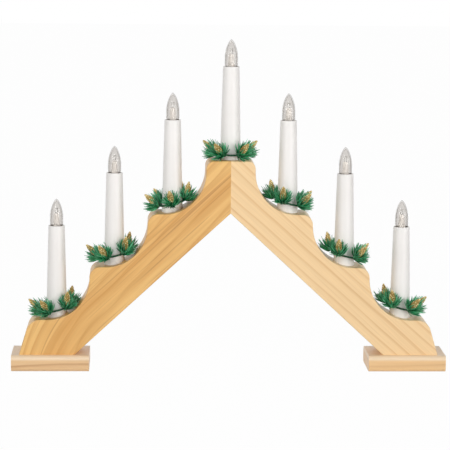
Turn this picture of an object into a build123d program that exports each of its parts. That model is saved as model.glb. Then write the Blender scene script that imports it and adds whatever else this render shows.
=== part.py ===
import os
from math import acos, atan2, cos, degrees, hypot, radians, sin, tan

from build123d import *

# Electric candle arch, in millimetres. X runs along the arch, Y from front to back and Z up.
# The origin is the middle of the ground area that the two feet cover.

# Staircase of the two arms
candle_pitch = 53.0
step_rise = 49.0
steps_per_arm = 3
first_seat_height = 47.5
cove_radius = 38.5
nose_radius = 9.5
crown_nose_radius = 7.5
cove_lead = 8.0
arm_thickness = 36.0
arm_web = 35.4
arm_front_margin = 5.5
edge_round = 1.0

# Outer toe of each arm
toe_reach = 34.0
toe_flat = 14.5
toe_nose_radius = 13.0

# Feet
foot_length = 71.2
foot_depth = 50.0
foot_height = 15.0
foot_round = 4.0
foot_offset = 5.4

# Foot screws and mitre dowels
screw_length = 26.0
screw_radius = 1.9
screw_head_radius = 3.8
screw_recess = 0.4
screw_inset = 13.0
dowel_radius = 4.0
dowel_length = 36.0
dowel_spacing = 13.0
dowel_rise = 8.5
bore_gap = 0.05
end_gap = 1.0

# Candle tubes
tube_height = 85.0
tube_base_radius = 9.75
tube_top_radius = 7.5
tube_wall = 1.5
tube_rim_round = 0.7
seat_depth = 8.0
seat_gap = 0.1

# Lamp sockets in the tops of the tubes
socket_top = 4.0
socket_length = 14.0
socket_radius = 6.25
socket_floor = 3.0
socket_ledge = 2.0
socket_ledge_width = 0.9
shell_wall = 0.3
tongue_radius = 2.0
tongue_height = 0.6

# Screw-in lamps
lamp_shell_radius = 4.7
lamp_shell_top = 3.0
lamp_shell_length = 8.5
lamp_insulator_height = 1.1
lamp_insulator_radius = 2.2
lamp_tip_radius = 1.9
lamp_thread_gap = 0.3
lamp_contact_gap = 0.3
glass_radius = 6.0
glass_wall = 0.6
glass_neck_radius = 4.2
glass_shoulder = 1.5
glass_straight = 11.5
glass_height = 25.5
glass_taper_height = 9.5
glass_taper_radius = 3.9
glass_tip_slope = 0.5
flute_count = 20
flute_radius = 0.8
flute_depth = 0.25
flute_margin = 1.0
stem_radius = 3.3
stem_height = 14.0
stem_head_radius = 2.4
lead_radius = 0.3
lead_spread = 1.1
lead_height = 5.0
filament_radius = 0.2
filament_drop = 0.6

# Wiring in the back of the arms
wire_radius = 0.9
wire_bend = 3.0
terminal_offset = 2.5
wire_hole_radius = 5.0
wire_hole_drop = 10.0
cross_hole_radius = 4.5
groove_width = 6.0
groove_depth = 6.0
return_depth = 1.5
series_depth = 4.6
inlet_reach = 12.5
inlet_foot_gap = 1.5
return_dive = 6.5
inlet_radius = 4.4
inlet_depth = 12.0
inlet_shoulder = 2.0
inlet_flange_radius = 6.4
inlet_flange_height = 1.5
inlet_bore_radius = 3.4
inlet_lead_spread = 1.4

# Wreaths round the candles
wreath_tilt = 16.0
wreath_ring_height = 7.5
crown_ring_height = 5.0
ring_wire_radius = 0.8
ring_gap = 0.4
sprig_count = 5
sprig_phases = [26, 26, 54, 18, 30, 26, 15]
sprig_gap = 0.1
sprig_pitch = 14.0
uphill_pitch = 12.0
stalk_length = 3.6
stalk_width = 5.2
stalk_thickness = 1.8
needle_length = 7.8
needle_radius = 0.65
needle_tip_radius = 0.25
needle_root = 0.5
flat_needles = 4
flat_swing = 10.0
flat_swing_step = 20.0
flat_pitch = -3.0
flat_pitch_step = 7.0
raised_needles = 2
raised_swing = 64.0
raised_pitch = 56.0
raised_pitch_step = -10.0
raised_across = 1.9
cone_length = 11.0
cone_base_radius = 0.9
cone_belly_radius = 2.3
cone_belly_place = 3.3
cone_waist_radius = 1.95
cone_waist_place = 7.2
cone_tip_radius = 0.5
cone_pitch = 36.0
cone_place = 2.4
cone_gap = 0.4

# Places worked out from the sizes above
candle_count = 2 * steps_per_arm + 1
slope = degrees(atan2(step_rise, candle_pitch))
top_seat_height = first_seat_height + steps_per_arm * step_rise
riser_place = cove_lead + candle_pitch - cove_radius
arm_front = -foot_depth / 2 + arm_front_margin
arm_middle = arm_front + arm_thickness / 2
arm_back = arm_front + arm_thickness
outer_candle = steps_per_arm * candle_pitch
toe_x = outer_candle + toe_reach
web_drop = arm_web / cos(radians(slope))
mitre_bottom = top_seat_height - web_drop
heel_x = (mitre_bottom - foot_height) / tan(radians(slope))
foot_middle = outer_candle + foot_offset
cross_hole_drop = seat_depth + wire_hole_drop / 2
groove_length = hypot(outer_candle, steps_per_arm * step_rise)
inlet_x = outer_candle + inlet_reach
inlet_z = foot_height + inlet_flange_radius + inlet_foot_gap
inlet_drop = first_seat_height - cross_hole_drop - inlet_z
inlet_run = hypot(inlet_reach, inlet_drop)
inlet_slope = degrees(atan2(inlet_drop, inlet_reach))
seat_radius = tube_base_radius + seat_gap
tube_bore_radius = socket_radius + bore_gap
shell_outer_radius = lamp_shell_radius + lamp_thread_gap + shell_wall
socket_bottom = -socket_top - socket_length
lamp_tip_bottom = socket_bottom + socket_floor + tongue_height + lamp_contact_gap
lamp_shell_bottom = -lamp_shell_top - lamp_shell_length
insulator_bottom = lamp_shell_bottom - lamp_insulator_height
screw_head_height = screw_head_radius - screw_radius
screw_places = [heel_x + screw_inset, toe_x - screw_inset]
dowel_heights = [mitre_bottom + dowel_rise + i * dowel_spacing for i in range(2)]


def step_of(i):
    # How many steps candle i stands below the crown
    return abs(i - steps_per_arm)


def candle_x(i):
    return (i - steps_per_arm) * candle_pitch


def seat_z(i):
    return top_seat_height - step_of(i) * step_rise


def rim_z(i):
    return seat_z(i) + tube_height


def uphill(i):
    # The direction along X in which the arm climbs beside candle i
    return 0 if i == steps_per_arm else (1 if i < steps_per_arm else -1)


def turning_plane(i, height):
    # Upright plane through the axis of candle i, for profiles that are turned about it
    return Plane(origin=(candle_x(i), arm_middle, height), x_dir=(1, 0, 0), z_dir=(0, -1, 0))


def turning_axis(i):
    return Axis((candle_x(i), arm_middle, 0), (0, 0, 1))


os.makedirs("parts", exist_ok=True)


def save(piece, name):
    piece.part.label = name
    export_step(piece.part, f"parts/{name}.step")


# Arm: a stair of coves and noses above, a straight slope below, mitred at the crown
toe_drop = seat_z(0) - foot_height
toe_centre_gap = hypot(toe_reach - toe_flat, toe_drop - toe_nose_radius)
toe_lean = degrees(acos(toe_nose_radius / toe_centre_gap))
toe_lean = toe_lean - degrees(atan2(toe_drop - toe_nose_radius, toe_reach - toe_flat))
with BuildPart() as arm_blank:
    with BuildSketch(Plane.XZ.offset(-arm_back)) as arm_profile:
        with BuildLine() as arm_outline:
            run = Line((0, top_seat_height), (riser_place - crown_nose_radius, top_seat_height))
            for step in range(1, steps_per_arm + 1):
                seat_height = top_seat_height - step * step_rise
                seat_x = step * candle_pitch
                nose = JernArc(run @ 1, (1, 0), crown_nose_radius if step == 1 else nose_radius, -90)
                riser = Line(nose @ 1, (seat_x + cove_lead - cove_radius, seat_height + cove_radius))
                cove = JernArc(riser @ 1, (0, -1), cove_radius, 90)
                tread_end = toe_flat if step == steps_per_arm else riser_place - nose_radius
                run = Line(cove @ 1, (seat_x + tread_end, seat_height))
            toe_nose = JernArc(run @ 1, (1, 0), toe_nose_radius, toe_lean - 90)
            Polyline(toe_nose @ 1, (toe_x, foot_height), (heel_x, foot_height), (0, mitre_bottom))
            Line((0, mitre_bottom), (0, top_seat_height))
        make_face()
    extrude(amount=arm_thickness)
    outline_edges = arm_blank.faces().filter_by(Axis.Y).edges()
    shown_edges = [edge for edge in outline_edges if edge.center().X > edge_round]
    shown_edges = [edge for edge in shown_edges if edge.center().Z > foot_height + edge_round]
    fillet(shown_edges, edge_round)

    # Drilled seat of each candle, with a narrower hole for its wires below
    for step in range(steps_per_arm + 1):
        seat_height = top_seat_height - step * step_rise
        with BuildSketch(Plane.XY.offset(seat_height - seat_depth)):
            with Locations((step * candle_pitch, arm_middle)):
                Circle(seat_radius)
        extrude(amount=seat_depth + cove_radius, mode=Mode.SUBTRACT)
        with BuildSketch(Plane.XY.offset(seat_height - seat_depth)):
            with Locations((step * candle_pitch, arm_middle)):
                Circle(wire_hole_radius)
        extrude(amount=-wire_hole_drop, mode=Mode.SUBTRACT)
        with BuildSketch(Plane.XZ.offset(-arm_back)):
            with Locations((step * candle_pitch, seat_height - cross_hole_drop)):
                Circle(cross_hole_radius)
        extrude(amount=arm_thickness / 2, mode=Mode.SUBTRACT)

    # Wiring groove in the back, from the crown to the outer candle
    with BuildSketch(Plane.XZ.offset(-arm_back)):
        with Locations((outer_candle / 2, (top_seat_height + seat_z(0)) / 2 - cross_hole_drop)):
            SlotCenterToCenter(groove_length, groove_width, rotation=-slope)
    extrude(amount=groove_depth, mode=Mode.SUBTRACT)

    # Dowel holes in the mitre and screw holes in the bottom
    with BuildSketch(Plane.YZ):
        with Locations(*[(arm_middle, height) for height in dowel_heights]):
            Circle(dowel_radius + bore_gap)
    extrude(amount=dowel_length / 2 + end_gap, mode=Mode.SUBTRACT)
    with BuildSketch(Plane.XY.offset(foot_height)):
        with Locations(*[(place, arm_middle) for place in screw_places]):
            Circle(screw_radius + bore_gap)
    extrude(amount=screw_recess + screw_length + end_gap - foot_height, mode=Mode.SUBTRACT)

with BuildPart() as left_arm:
    mirror(arm_blank.part, about=Plane.YZ)
save(left_arm, "left_arm")

# The right arm also takes the mains lead's inlet, at the low end of its groove
with BuildPart() as right_arm:
    add(arm_blank.part)
    with BuildSketch(Plane.XZ.offset(-arm_back)):
        with Locations(((outer_candle + inlet_x) / 2, (inlet_z + seat_z(0) - cross_hole_drop) / 2)):
            SlotCenterToCenter(inlet_run, groove_width, rotation=-inlet_slope)
    extrude(amount=groove_depth, mode=Mode.SUBTRACT)
    with BuildSketch(Plane.XZ.offset(-arm_back)):
        with Locations((inlet_x, inlet_z)):
            Circle(inlet_radius + bore_gap)
    extrude(amount=inlet_depth, mode=Mode.SUBTRACT)
save(right_arm, "right_arm")

# Feet: flat boards with rounded long edges, drilled and countersunk from below
countersink_radius = screw_head_radius + screw_recess + bore_gap
for side, name in ((-1, "left_foot"), (1, "right_foot")):
    with BuildPart() as foot:
        with BuildSketch(Plane.YZ.offset(side * foot_middle - foot_length / 2)) as foot_profile:
            Rectangle(foot_depth, foot_height, align=(Align.CENTER, Align.MIN))
            fillet(foot_profile.vertices().group_by(Axis.Z)[-1], foot_round)
        extrude(amount=foot_length)
        for place in screw_places:
            with Locations(Plane(origin=(side * place, arm_middle, 0), x_dir=(1, 0, 0), z_dir=(0, 0, -1))):
                CounterSinkHole(screw_radius + bore_gap, countersink_radius, foot_height, 90)
    save(foot, name)

# Countersunk screws that hold the arms on the feet
with BuildPart() as foot_screws:
    for side in (-1, 1):
        for place in screw_places:
            head = (side * place, arm_middle, screw_recess)
            with BuildSketch(Plane(origin=head, x_dir=(1, 0, 0), z_dir=(0, -1, 0))):
                with BuildLine():
                    Polyline(
                        (0, 0),
                        (screw_head_radius, 0),
                        (screw_radius, screw_head_height),
                        (screw_radius, screw_length - screw_head_height),
                        (0, screw_length),
                        close=True,
                    )
                make_face()
            revolve(axis=Axis(head, (0, 0, 1)))
save(foot_screws, "foot_screws")

# Dowels across the mitre
with BuildPart() as mitre_dowels:
    with BuildSketch(Plane.YZ.offset(-dowel_length / 2)):
        with Locations(*[(arm_middle, height) for height in dowel_heights]):
            Circle(dowel_radius)
    extrude(amount=dowel_length)
save(mitre_dowels, "mitre_dowels")

# Candle tubes: tapered sleeves with a ledge near the top that carries the lamp socket
tube_taper = (tube_base_radius - tube_top_radius) / (tube_height + seat_depth)
ledge_bottom = socket_bottom - socket_ledge
skirt_radius = tube_top_radius - ledge_bottom * tube_taper - tube_wall
for i in range(candle_count):
    with BuildPart() as candle_tube:
        with BuildSketch(turning_plane(i, rim_z(i))):
            with BuildLine():
                rim = Line((tube_bore_radius, 0), (tube_top_radius - tube_rim_round, 0))
                rim_arc = JernArc(rim @ 1, (1, 0), tube_rim_round, -90)
                Polyline(
                    rim_arc @ 1,
                    (tube_base_radius, -tube_height - seat_depth),
                    (tube_base_radius - tube_wall, -tube_height - seat_depth),
                    (skirt_radius, ledge_bottom),
                    (tube_bore_radius - socket_ledge_width, ledge_bottom),
                    (tube_bore_radius - socket_ledge_width, socket_bottom),
                    (tube_bore_radius, socket_bottom),
                    (tube_bore_radius, 0),
                )
            make_face()
        revolve(axis=turning_axis(i))
    save(candle_tube, f"candle_tube_{i + 1}")

# Lamp sockets: moulded cups that stand on the ledges
with BuildPart() as lamp_sockets:
    for i in range(candle_count):
        with BuildSketch(Plane.XY.offset(rim_z(i) + socket_bottom)):
            with Locations((candle_x(i), arm_middle)):
                Circle(socket_radius)
        extrude(amount=socket_length)
        with BuildSketch(Plane.XY.offset(rim_z(i) + socket_bottom + socket_floor)):
            with Locations((candle_x(i), arm_middle)):
                Circle(shell_outer_radius + bore_gap)
        extrude(amount=socket_length - socket_floor, mode=Mode.SUBTRACT)
save(lamp_sockets, "lamp_sockets")

# Brass shell and centre contact in each socket
with BuildPart() as socket_contacts:
    for i in range(candle_count):
        with BuildSketch(Plane.XY.offset(rim_z(i) + socket_bottom + socket_floor)):
            with Locations((candle_x(i), arm_middle)):
                Circle(shell_outer_radius)
                Circle(lamp_shell_radius + lamp_thread_gap, mode=Mode.SUBTRACT)
        extrude(amount=socket_length - socket_floor)
        with BuildSketch(Plane.XY.offset(rim_z(i) + socket_bottom + socket_floor)):
            with Locations((candle_x(i), arm_middle)):
                Circle(tongue_radius)
        extrude(amount=tongue_height)
save(socket_contacts, "socket_contacts")

# Lamps: a clear fluted bulb, its screw shell with the stem and filament, and the contact tip
inner_radius = glass_radius - glass_wall
for i in range(candle_count):
    with BuildPart() as lamp_glass:
        with BuildSketch(turning_plane(i, rim_z(i))):
            with BuildLine():
                neck = Line(
                    (glass_neck_radius - glass_wall, -lamp_shell_top),
                    (glass_neck_radius, -lamp_shell_top),
                )
                shoulder = Spline(neck @ 1, (glass_radius, glass_shoulder), tangents=((1, 1), (0, 1)))
                side = Line(shoulder @ 1, (glass_radius, glass_straight))
                taper = (glass_taper_radius, glass_straight + glass_taper_height)
                Spline(side @ 1, taper, (0, glass_height), tangents=((0, 1), (-1, glass_tip_slope)))
                Line((0, glass_height), (0, glass_height - 2 * glass_wall))
                inner_taper = (glass_taper_radius - glass_wall, taper[1])
                Spline(
                    (0, glass_height - 2 * glass_wall),
                    inner_taper,
                    (inner_radius, glass_straight),
                    tangents=((1, -glass_tip_slope), (0, -1)),
                )
                Line((inner_radius, glass_straight), (inner_radius, glass_shoulder))
                Spline((inner_radius, glass_shoulder), neck @ 0, tangents=((0, -1), (-1, -1)))
            make_face()
        revolve(axis=turning_axis(i))
        with BuildSketch(Plane.XY.offset(rim_z(i) + glass_shoulder + flute_margin)):
            with Locations((candle_x(i), arm_middle)):
                with PolarLocations(glass_radius - flute_depth + flute_radius, flute_count):
                    Circle(flute_radius)
        extrude(amount=glass_straight - glass_shoulder - 2 * flute_margin, mode=Mode.SUBTRACT)
    save(lamp_glass, f"lamp_glass_{i + 1}")

    with BuildPart() as lamp_base:
        with BuildSketch(turning_plane(i, rim_z(i))):
            with BuildLine():
                Polyline(
                    (0, insulator_bottom),
                    (lamp_insulator_radius, insulator_bottom),
                    (lamp_shell_radius, lamp_shell_bottom),
                    (lamp_shell_radius, -lamp_shell_top),
                    (stem_radius, -lamp_shell_top),
                    (stem_head_radius, stem_height - lamp_shell_top),
                    (0, stem_height - lamp_shell_top),
                    close=True,
                )
            make_face()
        revolve(axis=turning_axis(i))
        stem_top = rim_z(i) + stem_height - lamp_shell_top
        with BuildSketch(Plane.XY.offset(stem_top)):
            with Locations(*[(candle_x(i) + side * lead_spread, arm_middle) for side in (-1, 1)]):
                Circle(lead_radius)
        extrude(amount=lead_height)
        with BuildSketch(Plane.YZ.offset(candle_x(i) - lead_spread)):
            with Locations((arm_middle, stem_top + lead_height - filament_drop)):
                Circle(filament_radius)
        extrude(amount=2 * lead_spread)
    save(lamp_base, f"lamp_base_{i + 1}")

    with BuildPart() as lamp_contact:
        with BuildSketch(Plane.XY.offset(rim_z(i) + lamp_tip_bottom)):
            with Locations((candle_x(i), arm_middle)):
                Circle(lamp_tip_radius)
        extrude(amount=insulator_bottom - lamp_tip_bottom)
    save(lamp_contact, f"lamp_contact_{i + 1}")

# Wiring: one wire from each socket to the next, and the two ends that go to the inlet
series_y = arm_back - series_depth
return_y = arm_back - return_depth


def terminal_run(i, side, depth):
    # From a socket's terminal down inside its tube and out to the groove
    x = candle_x(i) + side * terminal_offset
    cross_z = seat_z(i) - cross_hole_drop
    return [(x, arm_middle, rim_z(i) + socket_bottom), (x, arm_middle, cross_z), (x, depth, cross_z)]


def groove_point(along, across, depth):
    # A place in the groove below the last candle, measured from that candle's cross hole
    lean = radians(inlet_slope)
    x = outer_candle + along * cos(lean) + across * sin(lean)
    z = seat_z(last) - cross_hole_drop - along * sin(lean) + across * cos(lean)
    return (x, depth, z)


last = candle_count - 1
routes = []
for i in range(last):
    routes.append(terminal_run(i, 1, series_y) + terminal_run(i + 1, -1, series_y)[::-1])
crown = (0, return_y, top_seat_height - cross_hole_drop)
dive = groove_point(return_dive, -inlet_lead_spread, return_y)
return_end = groove_point(inlet_run, -inlet_lead_spread, series_y)
series_end = groove_point(inlet_run, inlet_lead_spread, series_y)
routes.append(terminal_run(0, -1, return_y) + [crown, dive, return_end])
routes.append(terminal_run(last, 1, series_y) + [series_end])
with BuildPart() as wire_loop:
    for route in routes:
        with BuildLine() as wire_path:
            FilletPolyline(*route, radius=wire_bend)
        with BuildSketch(Plane(origin=route[0], x_dir=(1, 0, 0), z_dir=(0, 0, -1))):
            Circle(wire_radius)
        sweep(path=wire_path.wires()[0])
save(wire_loop, "wire_loop")

# Bush of the inlet, seated in the back of the right arm
with BuildPart() as inlet_bush:
    with BuildSketch(Plane.XZ.offset(-arm_back)):
        with Locations((inlet_x, inlet_z)):
            Circle(inlet_flange_radius)
            Circle(inlet_bore_radius, mode=Mode.SUBTRACT)
    extrude(amount=-inlet_flange_height)
    with BuildSketch(Plane.XZ.offset(-arm_back)):
        with Locations((inlet_x, inlet_z)):
            Circle(inlet_radius)
            Circle(inlet_bore_radius, mode=Mode.SUBTRACT)
    extrude(amount=inlet_shoulder)
save(inlet_bush, "inlet_bush")

# Wreaths: a wire ring with tufts of flat needles, each with a small cone
def ring_radius(i):
    # A leaning ring is wider, so that it still passes round the tube
    lean = radians(wreath_tilt * uphill(i))
    return (tube_base_radius + ring_gap) / cos(lean) + ring_wire_radius


def wreath_plane(i):
    lean = radians(wreath_tilt * uphill(i))
    height = wreath_ring_height if uphill(i) else crown_ring_height
    centre = (candle_x(i), arm_middle, seat_z(i) + height)
    return Plane(origin=centre, x_dir=(cos(lean), 0, sin(lean)), z_dir=(-sin(lean), 0, cos(lean)))


def sprig_plane(i, j):
    # Frame of one tuft: X points away from the candle, and tufts beside the cove stand steeper
    turn = sprig_phases[i] + j * 360 / sprig_count
    pitch = sprig_pitch + uphill_pitch * max(0.0, uphill(i) * cos(radians(turn)))
    outward = Vector(cos(radians(turn)), sin(radians(turn)), 0)
    along = outward * cos(radians(pitch)) + Vector(0, 0, sin(radians(pitch)))
    above = Vector(0, 0, cos(radians(pitch))) - outward * sin(radians(pitch))
    wreath = wreath_plane(i)
    return Plane(
        origin=wreath.from_local_coords(outward * (ring_radius(i) + ring_wire_radius + sprig_gap)),
        x_dir=wreath.from_local_coords(along) - wreath.origin,
        z_dir=wreath.from_local_coords(above) - wreath.origin,
    )


# Needles of a tuft: a flat row round the stalk's outline and a raised row on its top
needles = []
for hand in (-1, 1):
    for k in range(flat_needles):
        share = radians((k + 0.5) * 90 / flat_needles)
        along = (stalk_length - needle_root) * cos(share)
        across = hand * (stalk_width / 2 - needle_root) * sin(share)
        swing = hand * (flat_swing + k * flat_swing_step)
        needles.append((Vector(along, across, 0), swing, flat_pitch + k * flat_pitch_step))
    for k in range(raised_needles):
        along = (k + 0.5) * stalk_length / raised_needles
        root = Vector(along, hand * raised_across, stalk_thickness / 2 - needle_root)
        needles.append((root, hand * raised_swing, raised_pitch + k * raised_pitch_step))

with BuildPart() as sprig:
    Box(stalk_length, stalk_width, stalk_thickness, align=(Align.MIN, Align.CENTER, Align.CENTER))
    strands = []
    for root, swing, pitch in needles:
        way = Vector(1, 0, 0).rotate(Axis.Y, -pitch).rotate(Axis.Z, swing)
        with BuildSketch(Plane(root, z_dir=way), mode=Mode.PRIVATE) as needle_foot:
            RegularPolygon(needle_radius, 3)
        with BuildSketch(Plane(root + way * needle_length, z_dir=way), mode=Mode.PRIVATE) as needle_tip:
            RegularPolygon(needle_tip_radius, 3)
        strands.append(loft([needle_foot.sketch, needle_tip.sketch], ruled=True, mode=Mode.PRIVATE))
    add(strands)

# Cone: four faceted rings, narrow at the stalk and pointed at the end
cone_foot = Vector(cone_place, 0, stalk_thickness / 2 + cone_gap + cone_base_radius)
cone_way = Vector(cos(radians(cone_pitch)), 0, sin(radians(cone_pitch)))
cone_rings = [
    (0, cone_base_radius),
    (cone_belly_place, cone_belly_radius),
    (cone_waist_place, cone_waist_radius),
    (cone_length, cone_tip_radius),
]
with BuildPart() as cone:
    for place, radius in cone_rings:
        with BuildSketch(Plane(cone_foot + cone_way * place, z_dir=cone_way)):
            RegularPolygon(radius, 8)
    loft(ruled=True)

for i in range(candle_count):
    wreath = wreath_plane(i)
    with BuildPart() as wreath_ring:
        with BuildSketch(Plane(origin=wreath.origin, x_dir=wreath.x_dir, z_dir=-wreath.y_dir)):
            with Locations((ring_radius(i), 0)):
                RegularPolygon(ring_wire_radius, 6)
        revolve(axis=Axis(wreath.origin, wreath.z_dir))
    save(wreath_ring, f"wreath_ring_{i + 1}")

    with BuildPart() as sprigs:
        for j in range(sprig_count):
            with Locations(sprig_plane(i, j)):
                add(sprig.part)
    save(sprigs, f"sprigs_{i + 1}")

    with BuildPart() as cones:
        for j in range(sprig_count):
            with Locations(sprig_plane(i, j)):
                add(cone.part)
    save(cones, f"cones_{i + 1}")
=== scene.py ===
from math import cos, pi, radians, sin, sqrt

import bmesh
import bpy
from mathutils import Matrix, Vector


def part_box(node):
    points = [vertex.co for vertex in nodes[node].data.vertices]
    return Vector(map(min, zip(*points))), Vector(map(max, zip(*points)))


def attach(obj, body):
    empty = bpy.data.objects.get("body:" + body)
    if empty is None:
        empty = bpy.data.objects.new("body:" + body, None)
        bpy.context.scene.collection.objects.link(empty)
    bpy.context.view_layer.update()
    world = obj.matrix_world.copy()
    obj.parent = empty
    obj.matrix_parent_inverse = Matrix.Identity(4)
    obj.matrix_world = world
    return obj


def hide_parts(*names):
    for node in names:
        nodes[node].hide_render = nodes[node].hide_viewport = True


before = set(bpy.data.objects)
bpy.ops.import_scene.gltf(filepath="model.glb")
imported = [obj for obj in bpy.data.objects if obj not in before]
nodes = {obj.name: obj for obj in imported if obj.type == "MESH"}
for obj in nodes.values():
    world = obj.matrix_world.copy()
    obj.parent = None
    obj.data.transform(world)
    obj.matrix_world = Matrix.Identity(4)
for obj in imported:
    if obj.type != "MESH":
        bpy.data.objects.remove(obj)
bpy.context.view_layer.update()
candleNumbers = range(1, 8)
crownCandle = 4
mm = 0.001
goldenAngle = pi * (3 - sqrt(5))
print("frame loaded:", len(nodes), "nodes")


# Colours and node trees

def linear(red, green, blue):
    def channel(value):
        value = value / 255
        return value / 12.92 if value <= 0.04045 else ((value + 0.055) / 1.055) ** 2.4
    return (channel(red), channel(green), channel(blue), 1.0)


def grey(level):
    return (level, level, level, 1.0)


def addNode(tree, kind, values=None, **settings):
    made = tree.nodes.new(kind)
    for key, value in settings.items():
        setattr(made, key, value)
    for key, value in (values or {}).items():
        if isinstance(value, bpy.types.NodeSocket):
            tree.links.new(value, made.inputs[key])
        else:
            made.inputs[key].default_value = value
    return made


def make(tree, kind, values=None, **settings):
    # Adds a node of which only the first output is used
    return addNode(tree, kind, values, **settings).outputs[0]


def calc(tree, operation, first, second=0.0, third=0.0):
    return make(tree, "ShaderNodeMath", {0: first, 1: second, 2: third}, operation=operation)


def vector(tree, x=0.0, y=0.0, z=0.0):
    return make(tree, "ShaderNodeCombineXYZ", {0: x, 1: y, 2: z})


def polar(tree, radius, angle):
    return (calc(tree, "MULTIPLY", radius, calc(tree, "COSINE", angle)),
            calc(tree, "MULTIPLY", radius, calc(tree, "SINE", angle)))


def ramp(tree, factor, *stops):
    # Each stop is a place and a colour, or a place and a level of grey
    made = addNode(tree, "ShaderNodeValToRGB", {0: factor})
    band = made.color_ramp
    while len(band.elements) < len(stops):
        band.elements.new(0.5)
    for element, (place, colour) in zip(band.elements, stops):
        element.position = place
        element.color = colour if isinstance(colour, tuple) else grey(colour)
    return made.outputs[0]


def noise(tree, place, waves, detail=2.0, roughness=0.5):
    return make(tree, "ShaderNodeTexNoise",
                {"Vector": place, "Scale": waves, "Detail": detail, "Roughness": roughness})


def mixColour(tree, factor, first, second, blend="MIX"):
    made = addNode(tree, "ShaderNodeMix", {0: factor, 6: first, 7: second}, data_type="RGBA",
                   blend_type=blend)
    return made.outputs[2]


def layer(tree, colour, mask, share, paint):
    return mixColour(tree, calc(tree, "MULTIPLY", mask, share), colour, paint)


def newMaterial(name, values):
    material = bpy.data.materials.new(name)
    material.use_nodes = True
    shader = material.node_tree.nodes["Principled BSDF"]
    for key, value in values.items():
        shader.inputs[key].default_value = value
    return material, material.node_tree, shader


def feed(tree, shader, sockets):
    for key, socket in sockets.items():
        tree.links.new(socket, shader.inputs[key])


def bumpInto(tree, shader, height, strength, distance):
    bump = make(tree, "ShaderNodeBump", {"Height": height, "Strength": strength, "Distance": distance})
    feed(tree, shader, {"Normal": bump})


def objectPlace(tree, waves=(1, 1, 1), turn=(0, 0, 0)):
    coords = addNode(tree, "ShaderNodeTexCoord").outputs["Object"]
    return make(tree, "ShaderNodeMapping", {"Vector": coords, "Scale": waves, "Rotation": turn})


# Meshes

def dress(mesh, material):
    mesh.materials.clear()
    mesh.materials.append(material)


def ridePiece(name, mesh, place, body, node):
    mesh.transform(place)
    piece = bpy.data.objects.new(name, mesh)
    bpy.context.scene.collection.objects.link(piece)
    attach(piece, body)
    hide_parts(node)


def lathe(name, profile, segments, closed=False, ripple=None, sharp=35):
    # Turns (radius, height) points about Z; a ripple adds to the radius by angle and height
    shape = bmesh.new()
    rings = []
    for radius, height in profile:
        if radius == 0:
            rings.append([shape.verts.new((0, 0, height))])
            continue
        ring = []
        for k in range(segments):
            angle = 2 * pi * k / segments
            turned = radius + (ripple(angle, radius, height) if ripple else 0.0)
            ring.append(shape.verts.new((turned * cos(angle), turned * sin(angle), height)))
        rings.append(ring)
    pairs = list(zip(rings, rings[1:]))
    if closed:
        pairs.append((rings[-1], rings[0]))
    for lower, upper in pairs:
        for k in range(segments):
            corners = [lower[k % len(lower)], lower[(k + 1) % len(lower)],
                       upper[(k + 1) % len(upper)], upper[k % len(upper)]]
            corners = list(dict.fromkeys(corners))
            if len(corners) > 2:
                shape.faces.new(corners)
    bmesh.ops.recalc_face_normals(shape, faces=shape.faces)
    mesh = bpy.data.meshes.new(name)
    shape.to_mesh(mesh)
    shape.free()
    mesh.shade_smooth()
    mesh.set_sharp_from_angle(angle=radians(sharp))
    return mesh


def wireMesh(name, runs, radius, roundness):
    # A round wire along each run of points
    curve = bpy.data.curves.new(name, "CURVE")
    curve.dimensions = "3D"
    curve.bevel_depth = radius
    curve.bevel_resolution = roundness
    curve.use_fill_caps = True
    for run in runs:
        spline = curve.splines.new("POLY")
        spline.points.add(len(run) - 1)
        for point, place in zip(spline.points, run):
            point.co = (*place, 1)
    holder = bpy.data.objects.new(name, curve)
    mesh = bpy.data.meshes.new_from_object(holder)
    bpy.data.objects.remove(holder)
    return mesh


# Geometry trees

def growTree(name, inputs):
    # A tree with these named inputs, and the inputs' sockets by name
    tree = bpy.data.node_groups.new(name, "GeometryNodeTree")
    kinds = {float: "NodeSocketFloat", int: "NodeSocketInt"}
    for label, value in inputs.items():
        kind = kinds.get(type(value), "NodeSocketMaterial")
        socket = tree.interface.new_socket(name=label, in_out="INPUT", socket_type=kind)
        socket.default_value = value
    tree.interface.new_socket(name="Geometry", in_out="OUTPUT", socket_type="NodeSocketGeometry")
    entry = tree.nodes.new("NodeGroupInput")
    return tree, {label: entry.outputs[label] for label in inputs}


def endTree(tree, geometry, material):
    whole = make(tree, "GeometryNodeRealizeInstances", {0: geometry})
    dressed = make(tree, "GeometryNodeSetMaterial", {"Geometry": whole, "Material": material})
    tree.links.new(dressed, tree.nodes.new("NodeGroupOutput").inputs[0])
    return tree


def growMesh(name, tree, values):
    # Runs a tree on an empty mesh, with these inputs, and keeps the result as a plain mesh
    holder = bpy.data.objects.new(name, bpy.data.meshes.new(name))
    bpy.context.scene.collection.objects.link(holder)
    grown = holder.modifiers.new("grow", "NODES")
    grown.node_group = tree
    for item in tree.interface.items_tree:
        if item.in_out == "INPUT" and item.name in values:
            grown[item.identifier] = values[item.name]
    state = bpy.context.evaluated_depsgraph_get()
    mesh = bpy.data.meshes.new_from_object(holder.evaluated_get(state), depsgraph=state)
    mesh.name = name
    bpy.data.objects.remove(holder)
    return mesh


def pointsAt(tree, count, place):
    points = make(tree, "GeometryNodePoints", {"Count": count})
    return make(tree, "GeometryNodeSetPosition", {"Geometry": points, "Position": place})


def instances(tree, points, shape, **values):
    return make(tree, "GeometryNodeInstanceOnPoints", {"Points": points, "Instance": shape, **values})


def store(tree, geometry, name, value, domain):
    return make(tree, "GeometryNodeStoreNamedAttribute",
                {"Geometry": geometry, "Name": name, "Value": value}, data_type="FLOAT", domain=domain)


def rotation(tree, x=0.0, y=0.0, z=0.0):
    return make(tree, "FunctionNodeEulerToRotation", {0: vector(tree, x, y, z)})


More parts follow.
